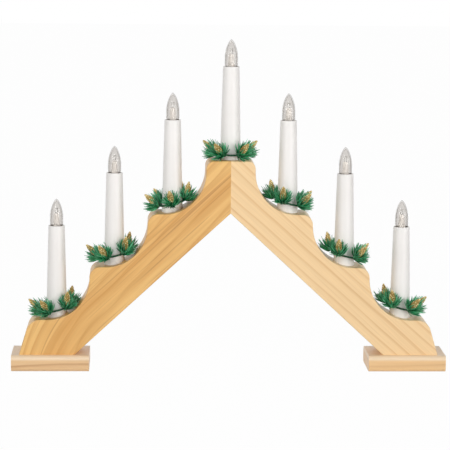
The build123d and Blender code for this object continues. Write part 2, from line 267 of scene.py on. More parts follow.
def rotatedBy(tree, first, second):
    return make(tree, "FunctionNodeRotateRotation", {"Rotation": first, "Rotate By": second},
                rotation_space="GLOBAL")


def randomFloat(tree, low, high, seed, salt):
    made = addNode(tree, "FunctionNodeRandomValue", {2: low, 3: high, 8: calc(tree, "ADD", seed, salt)},
                   data_type="FLOAT")
    return made.outputs[1]


# Pine: growth rings round a far axis, cut by the boards, under a satin lacquer

grain = {
    # Noise waves to a metre, along the grain and across it
    "sway": (9, 34), "vigour": (5, 60), "streak": (4.5, 75), "line": (6, 330), "fibre": (22, 900),
    "fleck": (60, 1500),
    # By what share of the spacing a year's width swings, and in how many waves to a year
    "yearSwing": 0.9, "yearWaves": 0.6,
    "fleckShare": 0.16, "fibreShade": 0.90,
    "fibreRelief": 0.35, "lateRelief": 0.5, "relief": 0.22, "reliefDepth": 0.3 * mm,
    "roughness": 0.36, "roughnessSwing": 0.16, "coat": 0.3, "coatRoughness": 0.35,
}


def pineWood(name, look):
    material, tree, shader = newMaterial(
        name, {"Coat Weight": grain["coat"], "Coat Roughness": grain["coatRoughness"]})
    split = addNode(tree, "ShaderNodeSeparateXYZ", {0: objectPlace(tree, turn=(0, look["turn"], 0))})
    along, deep, height = split.outputs
    across = height
    if "bend" in look:
        # The grain bends away near one end of the board
        past = calc(tree, "MINIMUM", calc(tree, "SUBTRACT", along, look["bendFrom"]), 0.0)
        away = calc(tree, "MULTIPLY", calc(tree, "MULTIPLY", past, past), look["bend"])
        across = calc(tree, "ADD", across, away)

    def grainNoise(part, detail=2.0, roughness=0.5):
        waves, crossWaves = grain[part]
        place = vector(tree, calc(tree, "MULTIPLY", along, waves),
                       calc(tree, "MULTIPLY", deep, crossWaves), calc(tree, "MULTIPLY", across, crossWaves))
        return noise(tree, place, 1.0, detail, roughness)

    def swung(value, swing, amount):
        return calc(tree, "ADD", value, calc(tree, "MULTIPLY", calc(tree, "SUBTRACT", swing, 0.5), amount))

    # Growth rings: distance from the heart, swayed, as years with a dark late side
    heartHeight, heartDepth = look["heart"]
    up = calc(tree, "SUBTRACT", calc(tree, "SUBTRACT", across, heartHeight),
              calc(tree, "MULTIPLY", along, look["lean"]))
    back = calc(tree, "SUBTRACT", deep, heartDepth)
    reach = calc(tree, "SQRT", calc(tree, "ADD", calc(tree, "MULTIPLY", up, up),
                                    calc(tree, "MULTIPLY", back, back)))
    reach = swung(reach, grainNoise("sway"), look["sway"])
    years = calc(tree, "MULTIPLY", reach, grain["yearWaves"] / look["spacing"])
    reach = swung(reach, noise(tree, vector(tree, years), 1.0, 1.0), look["spacing"] * grain["yearSwing"])
    year = calc(tree, "FRACT", calc(tree, "DIVIDE", reach, look["spacing"]))
    late = ramp(tree, year, (0.0, 0.25), (0.10, 0.0), (look["lateFrom"], 0.08), (0.93, 1.0), (1.0, 0.25))
    vigour = calc(tree, "MULTIPLY_ADD", grainNoise("vigour"), look["lateSwing"], look["lateBase"])
    late = calc(tree, "MULTIPLY", late, vigour)

    # Streaks, flecks and fine lines over the rings, then the fibres' shading
    streak = ramp(tree, grainNoise("streak", 3.0, 0.55), (0.42, 0.0), (0.70, 1.0))
    fleck = ramp(tree, grainNoise("fleck", 1.0), (0.70, 0.0), (0.80, 1.0))
    line = ramp(tree, grainNoise("line"), (0.60, 0.0), (0.72, 1.0))
    colour = mixColour(tree, late, look["early"], look["late"])
    colour = layer(tree, colour, streak, look["streak"], look["streakColour"])
    colour = layer(tree, colour, fleck, grain["fleckShare"], look["late"])
    colour = layer(tree, colour, line, look["line"], look["lineColour"])
    if "edgeHighlightShare" in look:
        # A painted highlight: a pale band along the top of the board, for light on the feet's rounded top
        # edge
        edge = make(tree, "ShaderNodeMapRange",
                    {"Value": height, "From Min": look["edgeHighlightFrom"], "From Max": look["edgeHighlightTo"]},
                    interpolation_type="SMOOTHSTEP")
        colour = layer(tree, colour, edge, look["edgeHighlightShare"], look["edgeHighlightColour"])
    fibre = grainNoise("fibre", 3.0, 0.6)
    shade = ramp(tree, fibre, (0.25, grain["fibreShade"]), (0.75, 1.0))
    colour = mixColour(tree, 1.0, colour, shade, "MULTIPLY")
    rough = calc(tree, "MULTIPLY_ADD", fibre, grain["roughnessSwing"], grain["roughness"])
    feed(tree, shader, {"Base Color": colour, "Roughness": rough})
    relief = calc(tree, "ADD", calc(tree, "MULTIPLY", fibre, grain["fibreRelief"]),
                  calc(tree, "MULTIPLY", late, grain["lateRelief"]))
    bumpInto(tree, shader, relief, grain["relief"], grain["reliefDepth"])
    return material


# The grain runs along each board; the heart is the middle of the trunk, across the grain and in depth
slope = radians(42.75)
leftPine = {
    "turn": slope, "heart": (20 * mm, 34 * mm), "lean": 0.05, "sway": 20 * mm, "spacing": 11.5 * mm,
    "bendFrom": -55 * mm, "bend": 4.2, "lateFrom": 0.50, "lateSwing": 0.9, "lateBase": 0.05,
    "early": linear(245, 197, 122), "late": linear(202, 138, 62),
    "streak": 0.75, "streakColour": linear(211, 148, 70),
    "line": 0.60, "lineColour": linear(176, 114, 52),
}
rightPine = {
    "turn": -slope, "heart": (-600 * mm, 50 * mm), "lean": 0.02, "sway": 6.0 * mm, "spacing": 9.2 * mm,
    "lateFrom": 0.64, "lateSwing": 0.9, "lateBase": 0.02,
    "early": linear(252, 217, 166), "late": linear(216, 164, 102),
    "streak": 0.22, "streakColour": linear(236, 196, 142),
    "line": 0.22, "lineColour": linear(214, 166, 110),
}
leftFootPine = {
    "turn": 0.0, "heart": (-60 * mm, 10 * mm), "lean": 0.02, "sway": 4 * mm, "spacing": 9.8 * mm,
    "lateFrom": 0.66, "lateSwing": 0.7, "lateBase": 0.30,
    "early": linear(238, 199, 150), "late": linear(180, 130, 84),
    "streak": 0.30, "streakColour": linear(226, 180, 122),
    "line": 0.30, "lineColour": linear(196, 146, 94),
    # The pale band along the top edge is a painted highlight
    "edgeHighlightFrom": 9.5 * mm, "edgeHighlightTo": 12.5 * mm, "edgeHighlightShare": 0.95, "edgeHighlightColour": linear(252, 226, 192),
}
rightFootPine = dict(leftFootPine, heart=(-85 * mm, 20 * mm), spacing=12.5 * mm, lateBase=0.10,
                     lateSwing=0.4, early=linear(247, 207, 153), streakColour=linear(226, 176, 116))
dowelBeech = dict(rightPine, turn=0.0, early=linear(220, 182, 134), late=linear(190, 146, 98))

for nodeName, materialName, look in (
    ("left_arm", "leftArmPine", leftPine),
    ("right_arm", "rightArmPine", rightPine),
    ("left_foot", "leftFootPine", leftFootPine),
    ("right_foot", "rightFootPine", rightFootPine),
    ("mitre_dowels", "dowelBeech", dowelBeech),
):
    dress(nodes[nodeName].data, pineWood(materialName, look))
print("wood dressed")


# Plastics, metals and the clear bulb

def mouldedPlastic(name, colour, roughness, mottle=0.03, grainWaves=900, relief=0.05):
    cloudWaves = 60.0
    reliefDepth = 0.2 * mm
    material, tree, shader = newMaterial(name, {"Roughness": roughness})
    cloud = noise(tree, objectPlace(tree), cloudWaves, 3.0)
    dark = tuple(channel * (1 - mottle) for channel in colour[:3]) + (1.0,)
    feed(tree, shader, {"Base Color": mixColour(tree, cloud, dark, colour)})
    bumpInto(tree, shader, noise(tree, objectPlace(tree), grainWaves), relief, reliefDepth)
    return material


candleWhite = {
    "dull": linear(243, 239, 235), "bright": linear(250, 247, 244), "driftWaves": 28.0,
    "mark": linear(232, 230, 227), "markShare": 0.14, "markWaves": (700, 700, 14), "relief": 0.05,
    "reliefDepth": 0.2 * mm, "roughness": 0.34, "roughnessSwing": 0.16,
}


def candlePlastic(name):
    # Drawn marks run down the tube, with a faint drift of the white
    material, tree, shader = newMaterial(name, {
        "Subsurface Weight": 0.08, "Subsurface Radius": (4 * mm, 4 * mm, 4 * mm), "Subsurface Scale": 0.5,
        "Coat Weight": 0.10, "Coat Roughness": 0.25})
    drawn = noise(tree, objectPlace(tree, candleWhite["markWaves"]), 1.0, 3.0)
    drift = noise(tree, objectPlace(tree), candleWhite["driftWaves"])
    white = mixColour(tree, drift, candleWhite["dull"], candleWhite["bright"])
    white = layer(tree, white, drawn, candleWhite["markShare"], candleWhite["mark"])
    rough = calc(tree, "MULTIPLY_ADD", drawn, candleWhite["roughnessSwing"], candleWhite["roughness"])
    feed(tree, shader, {"Base Color": white, "Roughness": rough})
    bumpInto(tree, shader, drawn, candleWhite["relief"], candleWhite["reliefDepth"])
    return material


def drawnMetal(name, colour, roughness, tarnish):
    stainWaves = 240.0
    brushWaves = (300, 300, 4000)
    brushSwing = 0.18
    relief, reliefDepth = 0.06, 0.1 * mm
    material, tree, shader = newMaterial(name, {"Metallic": 1.0})
    stain = noise(tree, objectPlace(tree), stainWaves, 4.0)
    brushed = noise(tree, objectPlace(tree, brushWaves), 1.0)
    rough = calc(tree, "MULTIPLY_ADD", brushed, brushSwing, roughness)
    feed(tree, shader, {"Base Color": mixColour(tree, stain, tarnish, colour), "Roughness": rough})
    bumpInto(tree, shader, brushed, relief, reliefDepth)
    return material


bulbClear = {
    # The edge grey is painted shade along the bulb's outline
    "dull": linear(229, 226, 223), "bright": linear(239, 237, 235), "edge": linear(158, 154, 150),
    "edgeShadeBlend": 0.42, "cloudWaves": (700, 700, 40), "roughness": 0.02,
}


def clearBulb(name):
    # Greyer where the wall is seen edge on, a painted shade for the glass's dark outline, with a faint
    # cloud
    material, tree, shader = newMaterial(
        name, {"IOR": 1.03, "Transmission Weight": 1.0, "Coat Weight": 0.6, "Coat Roughness": 0.06})
    facing = addNode(tree, "ShaderNodeLayerWeight", {"Blend": bulbClear["edgeShadeBlend"]}).outputs["Facing"]
    cloud = noise(tree, objectPlace(tree, bulbClear["cloudWaves"]), 1.0)
    clear = mixColour(tree, cloud, bulbClear["dull"], bulbClear["bright"])
    tint = mixColour(tree, ramp(tree, facing, (0.20, 0.0), (0.90, 1.0)), clear, bulbClear["edge"])
    rough = calc(tree, "MULTIPLY", cloud, bulbClear["roughness"])
    feed(tree, shader, {"Base Color": tint, "Roughness": rough})
    return material


tubeWhite = candlePlastic("candleTubeWhite")
socketWhite = mouldedPlastic("socketWhite", linear(232, 230, 224), 0.5)
wireWhite = mouldedPlastic("wireInsulation", linear(226, 222, 212), 0.45, mottle=0.05, grainWaves=500)
bushWhite = mouldedPlastic("inletBush", linear(222, 218, 208), 0.5, mottle=0.05)
bulbGlass = clearBulb("lampBulb")
stemWhite = mouldedPlastic("lampStem", linear(234, 230, 225), 0.4, mottle=0.06)
shellMetal = drawnMetal("lampShell", linear(214, 190, 130), 0.22, linear(176, 148, 92))
tipMetal = drawnMetal("lampTip", linear(190, 188, 182), 0.35, linear(140, 138, 132))
contactBrass = drawnMetal("contactBrass", linear(206, 172, 96), 0.28, linear(160, 124, 60))
screwZinc = drawnMetal("screwZinc", linear(198, 200, 198), 0.28, linear(156, 158, 154))

for nodeName, material in (
    ("lamp_sockets", socketWhite),
    ("socket_contacts", contactBrass),
    ("wire_loop", wireWhite),
    ("inlet_bush", bushWhite),
    ("foot_screws", screwZinc),
):
    dress(nodes[nodeName].data, material)
for n in candleNumbers:
    dress(nodes[f"lamp_contact_{n}"].data, tipMetal)
print("plastics, metals and glass made")


# The two ends of a candle's axis, read from the frame

def candleAxis(n):
    low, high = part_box(f"candle_tube_{n}")
    x = (low.x + high.x) / 2
    y = (low.y + high.y) / 2
    return Vector((x, y, low.z)), Vector((x, y, high.z))


# Tubes: tapered, with a soft rim, and a ledge inside for the socket

tube = {
    "baseRadius": 9.75 * mm, "topRadius": 7.5 * mm, "bore": 6.3 * mm, "wall": 1.5 * mm, "rim": 0.7 * mm,
    "mouthBevel": 0.3 * mm, "ledgeTop": 18 * mm, "ledge": 2 * mm, "ledgeWidth": 0.9 * mm,
    "belowLedge": 6.4 * mm, "segments": 72, "rimSteps": 5,
}


def tubeOutline(height):
    outline = [(tube["bore"], -tube["mouthBevel"]), (tube["bore"] + tube["mouthBevel"], 0)]
    for k in range(tube["rimSteps"] + 1):
        angle = pi / 2 * (1 - k / tube["rimSteps"])
        outline.append((tube["topRadius"] - tube["rim"] + tube["rim"] * cos(angle),
                        -tube["rim"] + tube["rim"] * sin(angle)))
    ledgeBottom = -tube["ledgeTop"] - tube["ledge"]
    return outline + [
        (tube["baseRadius"], -height),
        (tube["baseRadius"] - tube["wall"], -height),
        (tube["belowLedge"], ledgeBottom),
        (tube["bore"] - tube["ledgeWidth"], ledgeBottom),
        (tube["bore"] - tube["ledgeWidth"], -tube["ledgeTop"]),
        (tube["bore"], -tube["ledgeTop"]),
    ]


for n in candleNumbers:
    foot, top = candleAxis(n)
    mesh = lathe(f"tube_{n}", tubeOutline(top.z - foot.z), tube["segments"], closed=True)
    dress(mesh, tubeWhite)
    ridePiece(f"tube_{n}", mesh, Matrix.Translation(top), "arch", f"candle_tube_{n}")
print("tubes made")


# Lamps: a ribbed bulb over a pale stem, on a rolled screw shell; heights are from the tube's rim

bulb = {
    "radius": 6.0 * mm, "neck": 4.2 * mm, "drop": 3.0 * mm, "shoulder": 1.5 * mm, "straight": 8.5 * mm,
    "height": 24.5 * mm, "domePower": 1.7, "domeRoot": 0.66,
    "ribs": 20, "ribDepth": 0.22 * mm, "ribStart": 2.0 * mm, "ribFade": 6.0 * mm, "ribTop": 17.0 * mm,
    # The wall, and how many walls thick the dome and the tip are
    "wall": 0.6 * mm, "domeWalls": 1.6, "tipWalls": 2.4,
    "segments": 160, "steps": 20, "neckSteps": 5,
}
shell = {
    "radius": 4.7 * mm, "top": -3.0 * mm, "length": 8.5 * mm,
    "threadDepth": 0.32 * mm, "threadPitch": 1.814 * mm, "plainTop": 1.0 * mm,
    "insulator": 2.2 * mm, "insulatorHeight": 1.1 * mm, "segments": 48, "steps": 48,
}
stem = {
    "radius": 3.3 * mm, "height": 14.0 * mm, "straight": 3.0 * mm, "gap": 0.01 * mm,
    "headRadius": 2.4 * mm, "headFlat": 0.7, "bevel": 0.8 * mm,
    "ribs": 8, "ribDepth": 0.18 * mm, "segments": 64,
}
stemHead = shell["top"] + stem["height"]
leads = {
    "radius": 0.28 * mm, "spread": 1.1 * mm, "rootShare": 0.7, "sunk": 0.5 * mm, "bend": 3.0 * mm,
    "height": 5.0 * mm, "roundness": 2,
}
filament = {
    "radius": 0.08 * mm, "coilRadius": 0.3 * mm, "belowTips": 0.5 * mm, "turns": 6, "steps": 8,
    "roundness": 4,
}


def domeRadius(share):
    # From the end of the straight side, share 0, to the tip, share 1
    return bulb["radius"] * (1 - share ** bulb["domePower"]) ** bulb["domeRoot"]


def bulbRib(angle, radius, height):
    # Ribs on the outside only, fading out at the neck and below the dome
    if height < 0 or height > bulb["ribTop"]:
        return 0.0
    rising = max(0.0, (height - bulb["straight"]) / (bulb["height"] - bulb["straight"]))
    if radius < domeRadius(rising) - bulb["wall"] / 2:
        return 0.0
    fade = min(1.0, (bulb["ribTop"] - height) / bulb["ribFade"]) * min(1.0, height / bulb["ribStart"])
    return -bulb["ribDepth"] * fade * (0.5 - 0.5 * cos(bulb["ribs"] * angle))


def bulbMesh(name):
    outside = []
    for k in range(bulb["neckSteps"] + 1):
        share = k / bulb["neckSteps"]
        outside.append((bulb["neck"] + (bulb["radius"] - bulb["neck"]) * sin(share * pi / 2),
                        -bulb["drop"] + (bulb["drop"] + bulb["shoulder"]) * share))
    domeHeight = bulb["height"] - bulb["straight"]
    for k in range(bulb["steps"] + 1):
        share = k / bulb["steps"]
        outside.append((domeRadius(share), bulb["straight"] + domeHeight * share))
    inside = []
    for radius, height in outside:
        if radius > 2 * bulb["wall"]:
            sunk = bulb["wall"] * bulb["domeWalls"] if height > bulb["straight"] else 0.0
            inside.append((radius - bulb["wall"], height - sunk))
    inside.append((0.0, bulb["height"] - bulb["tipWalls"] * bulb["wall"]))
    return lathe(name, outside + inside[::-1], bulb["segments"], closed=True, ripple=bulbRib, sharp=60)


def threadRipple(angle, radius, height):
    # On the side of the shell only, below a plain band
    if radius < shell["radius"] or height > shell["top"] - shell["plainTop"]:
        return 0.0
    return -shell["threadDepth"] * (0.5 + 0.5 * cos(2 * pi * height / shell["threadPitch"] - angle))


def shellMesh(name):
    bottom = shell["top"] - shell["length"]
    tip = bottom - shell["insulatorHeight"]
    outline = [(0.0, tip), (shell["insulator"], tip)]
    for k in range(shell["steps"] + 1):
        outline.append((shell["radius"], bottom + shell["length"] * k / shell["steps"]))
    outline += [(stem["radius"], shell["top"]), (0.0, shell["top"])]
    return lathe(name, outline, shell["segments"], ripple=threadRipple)


def stemRib(angle, radius, height):
    return -stem["ribDepth"] * (0.5 + 0.5 * cos(stem["ribs"] * angle))


def stemMesh(name):
    foot = shell["top"] + stem["gap"]
    outline = [
        (0.0, foot),
        (stem["radius"], foot),
        (stem["radius"], foot + stem["straight"]),
        (stem["headRadius"], stemHead - stem["bevel"]),
        (stem["headRadius"] * stem["headFlat"], stemHead),
        (0.0, stemHead),
    ]
    return lathe(name, outline, stem["segments"], ripple=stemRib)


def leadMesh(name):
    # Two bent leads, from the stem's head up to the filament
    runs = []
    for x in (-leads["spread"], leads["spread"]):
        runs.append([
            (x * leads["rootShare"], 0, stemHead - leads["sunk"]),
            (x, 0, stemHead + leads["bend"]),
            (x, 0, stemHead + leads["height"]),
        ])
    return wireMesh(name, runs, leads["radius"], leads["roundness"])


def filamentMesh(name):
    # A coil from one lead to the other
    middle = stemHead + leads["height"] - filament["belowTips"]
    count = filament["turns"] * filament["steps"]
    coil = []
    for k in range(count + 1):
        angle = 2 * pi * k / filament["steps"]
        coil.append((leads["spread"] * (2 * k / count - 1), filament["coilRadius"] * sin(angle),
                     middle + filament["coilRadius"] * cos(angle)))
    return wireMesh(name, [coil], filament["radius"], filament["roundness"])


lampParts = (
    ("bulb", bulbMesh, bulbGlass, "lamp_glass", "lamp_glass"),
    ("lampShell", shellMesh, shellMetal, "lamp_base_metal", "lamp_base"),
    ("lampStem", stemMesh, stemWhite, "lamp_base_metal", "lamp_base"),
    ("lampLeads", leadMesh, tipMetal, "lamp_tip_metal", "lamp_base"),
    ("lampFilament", filamentMesh, tipMetal, "lamp_tip_metal", "lamp_base"),
)
for n in candleNumbers:
    foot, top = candleAxis(n)
    for part, partMesh, material, slot, node in lampParts:
        mesh = partMesh(f"{part}_{n}")
        dress(mesh, material)
        ridePiece(f"{part}_{n}", mesh, Matrix.Translation(top), f"lamp_{n}", f"{node}_{n}")
print("lamps made")


# Wreaths: a twisted wire ring with tufts of cut-film needles, each round a small gold cone

needlePaint = {
    "shades": ((0.0, linear(0, 90, 50)), (0.50, linear(0, 126, 71)), (0.80, linear(6, 172, 104)),
               (1.0, linear(130, 238, 184))),
    # The pale tip colour is a painted highlight, and the dark root is painted shade
    "tip": linear(140, 216, 174), "tipHighlightFrom": 0.55, "tipHighlightShare": 0.50, "paintedRootShade": 0.35, "rootShadeTo": 0.45,
    "crinkleWaves": 1800.0, "relief": 0.12, "reliefDepth": 0.2 * mm,
}
conePaint = {
    "shades": ((0.0, linear(150, 122, 64)), (0.5, linear(214, 188, 118)), (1.0, linear(255, 240, 188))),
    "worn": linear(112, 86, 44), "wornShare": 0.6, "wornWaves": 700.0, "roughness": 0.26,
    "roughnessSwing": 0.25, "relief": 0.15, "reliefDepth": 0.2 * mm,
}


def attribute(tree, name):
    return addNode(tree, "ShaderNodeAttribute", attribute_name=name).outputs["Fac"]


def needleFilm(name):
    # A random green for each needle; painted shade makes it dark at its root, and a painted highlight makes
    # it pale at its tip
    material, tree, shader = newMaterial(name, {"Roughness": 0.34, "Specular IOR Level": 0.35})
    along = attribute(tree, "needleTip")
    colour = ramp(tree, attribute(tree, "needleTint"), *needlePaint["shades"])
    paintedTipHighlight = ramp(tree, along, (needlePaint["tipHighlightFrom"], 0.0), (1.0, needlePaint["tipHighlightShare"]))
    colour = mixColour(tree, paintedTipHighlight, colour, needlePaint["tip"])
    paintedShadeAtRoot = ramp(tree, along, (0.0, needlePaint["paintedRootShade"]), (needlePaint["rootShadeTo"], 1.0))
    feed(tree, shader, {"Base Color": mixColour(tree, 1.0, colour, paintedShadeAtRoot, "MULTIPLY")})
    crinkle = noise(tree, objectPlace(tree), needlePaint["crinkleWaves"])
    bumpInto(tree, shader, crinkle, needlePaint["relief"], needlePaint["reliefDepth"])
    return material


def goldCone(name):
    # A shade of gold for each scale, worn in places
    material, tree, shader = newMaterial(name, {"Metallic": 0.55})
    paint = ramp(tree, attribute(tree, "scaleTint"), *conePaint["shades"])
    wear = noise(tree, objectPlace(tree), conePaint["wornWaves"], 3.0)
    worn = ramp(tree, wear, (0.56, 0.0), (0.74, conePaint["wornShare"]))
    rough = calc(tree, "MULTIPLY_ADD", wear, conePaint["roughnessSwing"], conePaint["roughness"])
    paint = mixColour(tree, worn, paint, conePaint["worn"])
    feed(tree, shader, {"Base Color": paint, "Roughness": rough})
    bumpInto(tree, shader, wear, conePaint["relief"], conePaint["reliefDepth"])
    return material


# Where the tufts and cones sit; the wreath loop sets all of these but the roll from one to the next
placeInputs = {
    "Sprigs": 5, "Phase": 0.0, "Uphill": 0.0, "Pitch": 0.7, "Uphill Pitch": 0.2, "Ring Radius": 12.0 * mm,
    "Roll": 1.3,
}


def endSprigs(tree, ports, shape):
    # Puts the shape round the ring, turned outwards and pitched up, steeper towards the cove
    index = make(tree, "GeometryNodeInputIndex")
    apart = calc(tree, "DIVIDE", 2 * pi, ports["Sprigs"])
    turn = calc(tree, "ADD", ports["Phase"], calc(tree, "MULTIPLY", index, apart))
    rise = calc(tree, "MAXIMUM", 0.0, calc(tree, "MULTIPLY", ports["Uphill"], calc(tree, "COSINE", turn)))
    pitch = calc(tree, "MULTIPLY_ADD", rise, ports["Uphill Pitch"], ports["Pitch"])
    points = pointsAt(tree, ports["Sprigs"], vector(tree, *polar(tree, ports["Ring Radius"], turn)))
    outwards = rotation(tree, calc(tree, "MULTIPLY", index, ports["Roll"]),
                        calc(tree, "MULTIPLY", pitch, -1.0), turn)
    whole = make(tree, "GeometryNodeRealizeInstances", {0: shape})
    return endTree(tree, instances(tree, points, whole, Rotation=outwards), ports["Material"])


needleInputs = {
    "Needles": 104, "Needle Length": 16.0 * mm, "Needle Width": 1.35 * mm, "Needle Thickness": 0.4 * mm,
    "Taper": 0.72, "Taper Power": 2.2, "Curl": -3.2 * mm, "Inner Spread": radians(24),
    "Outer Spread": radians(70), "Outer Shortening": 0.28, "Root Disc": 1.6 * mm, "Seed": 3,
}
needleSwing = {"spread": 0.14, "twist": 0.7, "shortest": 0.80, "longest": 1.06}


def needleTufts(material):
    tree, ports = growTree("needleTufts", {**placeInputs, **needleInputs, "Material": material})

    # One needle along X: a flat strip that tapers and curls
    spine = make(tree, "GeometryNodeCurveQuadraticBezier", {
        "Resolution": 4,
        "Start": (0, 0, 0),
        "Middle": vector(tree, calc(tree, "MULTIPLY", ports["Needle Length"], 0.5)),
        "End": vector(tree, ports["Needle Length"], 0.0, ports["Curl"]),
    })
    along = addNode(tree, "GeometryNodeSplineParameter").outputs["Factor"]
    spine = store(tree, spine, "needleTip", along, "POINT")
    narrowing = calc(tree, "MULTIPLY", calc(tree, "POWER", along, ports["Taper Power"]), ports["Taper"])
    strip = make(tree, "GeometryNodeCurvePrimitiveQuadrilateral",
                 {"Width": ports["Needle Width"], "Height": ports["Needle Thickness"]}, mode="RECTANGLE")
    needle = make(tree, "GeometryNodeCurveToMesh", {
        "Curve": spine, "Profile Curve": strip, "Scale": calc(tree, "SUBTRACT", 1.0, narrowing),
        "Fill Caps": True})

    # A rosette of needles round X, by the golden angle, wider towards its rim
    index = make(tree, "GeometryNodeInputIndex")
    swirl = calc(tree, "MULTIPLY", index, goldenAngle)
    share = calc(tree, "SQRT", calc(tree, "DIVIDE", calc(tree, "ADD", index, 0.5), ports["Needles"]))
    widening = calc(tree, "SUBTRACT", ports["Outer Spread"], ports["Inner Spread"])
    spread = calc(tree, "MULTIPLY_ADD", share, widening, ports["Inner Spread"])
    uneven = randomFloat(tree, -needleSwing["spread"], needleSwing["spread"], ports["Seed"], 1)
    spread = calc(tree, "ADD", spread, uneven)
    disc = polar(tree, calc(tree, "MULTIPLY", share, ports["Root Disc"]), swirl)
    roots = pointsAt(tree, ports["Needles"], vector(tree, 0.0, *disc))
    twist = randomFloat(tree, -needleSwing["twist"], needleSwing["twist"], ports["Seed"], 2)
    lift = rotation(tree, twist, calc(tree, "MULTIPLY", spread, -1.0))
    turn = rotatedBy(tree, lift, rotation(tree, swirl))
    shortening = calc(tree, "SUBTRACT", 1.0, calc(tree, "MULTIPLY", share, ports["Outer Shortening"]))
    cut = randomFloat(tree, needleSwing["shortest"], needleSwing["longest"], ports["Seed"], 3)
    size = vector(tree, calc(tree, "MULTIPLY", shortening, cut), 1.0, 1.0)
    tuft = instances(tree, roots, needle, Rotation=turn, Scale=size)
    tuft = store(tree, tuft, "needleTint", randomFloat(tree, 0.0, 1.0, ports["Seed"], 4), "INSTANCE")
    return endSprigs(tree, ports, tuft)


coneInputs = {
    "Scales": 72, "Cone Length": 14.2 * mm, "Cone Radius": 2.8 * mm, "Cone Start": 3.0 * mm,
    "Scale Size": 1.30 * mm, "Seed": 11,
}
coneShape = {
    "swell": 0.42, "draw": 0.75, "fullness": 1.85, "flare": 0.35, "scale": (1.25, 0.8, 0.45),
    "tipShrink": 0.45, "darkest": 0.15, "coreExtra": 0.15 * mm, "coreSteps": 10,
}


def scaledCones(material):
    tree, ports = growTree("scaledCones", {**placeInputs, **coneInputs, "Material": material})

    def radiusAt(place):
        # Swells quickly from the stalk and draws in slowly to the point
        draw = calc(tree, "POWER", calc(tree, "SUBTRACT", 1.0, place), coneShape["draw"])
        swell = calc(tree, "POWER", place, coneShape["swell"])
        full = calc(tree, "MULTIPLY", ports["Cone Radius"], coneShape["fullness"])
        return calc(tree, "MULTIPLY", calc(tree, "MULTIPLY", draw, swell), full)

    # Overlapping scales on the golden spiral, smaller towards the point
    index = make(tree, "GeometryNodeInputIndex")
    share = calc(tree, "DIVIDE", calc(tree, "ADD", index, 0.5), ports["Scales"])
    swirl = calc(tree, "MULTIPLY", index, goldenAngle)
    spot = calc(tree, "MULTIPLY_ADD", share, ports["Cone Length"], ports["Cone Start"])
    seeds = pointsAt(tree, ports["Scales"], vector(tree, spot, *polar(tree, radiusAt(share), swirl)))
    scale = make(tree, "GeometryNodeMeshUVSphere", {"Segments": 6, "Rings": 4, "Radius": 1.0})
    scale = make(tree, "GeometryNodeSetShadeSmooth", {0: scale})
    flare = make(tree, "FunctionNodeEulerToRotation", {0: (0.0, -coneShape["flare"], 0.0)})
    turn = rotatedBy(tree, flare, rotation(tree, calc(tree, "ADD", swirl, -pi / 2)))
    shrink = calc(tree, "MULTIPLY", ports["Scale Size"],
                  calc(tree, "MULTIPLY_ADD", share, -coneShape["tipShrink"], 1.0))
    size = vector(tree, *(calc(tree, "MULTIPLY", shrink, stretch) for stretch in coneShape["scale"]))
    scales = instances(tree, seeds, scale, Rotation=turn, Scale=size)
    tint = randomFloat(tree, coneShape["darkest"], 1.0, ports["Seed"], 1)
    scales = store(tree, scales, "scaleTint", tint, "INSTANCE")

    # The core that they sit on
    tip = calc(tree, "ADD", ports["Cone Start"], ports["Cone Length"])
    core = make(tree, "GeometryNodeCurvePrimitiveLine",
                {"Start": vector(tree, ports["Cone Start"]), "End": vector(tree, tip)})
    core = make(tree, "GeometryNodeResampleCurve", {"Curve": core, "Count": coneShape["coreSteps"]})
    along = addNode(tree, "GeometryNodeSplineParameter").outputs["Factor"]
    thickness = calc(tree, "ADD", radiusAt(along), coneShape["coreExtra"])
    outline = make(tree, "GeometryNodeCurvePrimitiveCircle",
                   {"Resolution": coneShape["coreSteps"], "Radius": 1.0})
    core = make(tree, "GeometryNodeCurveToMesh",
                {"Curve": core, "Profile Curve": outline, "Scale": thickness, "Fill Caps": True})
    cone = addNode(tree, "GeometryNodeJoinGeometry")
    tree.links.new(scales, cone.inputs[0])
    tree.links.new(core, cone.inputs[0])
    return endSprigs(tree, ports, cone.outputs[0])


ringInputs = {"Ring Radius": 11.5 * mm, "Wire Radius": 0.5 * mm, "Twists": 26, "Strands": 2}
ringFineness = {"stepsPerTwist": 8, "wireSides": 6}


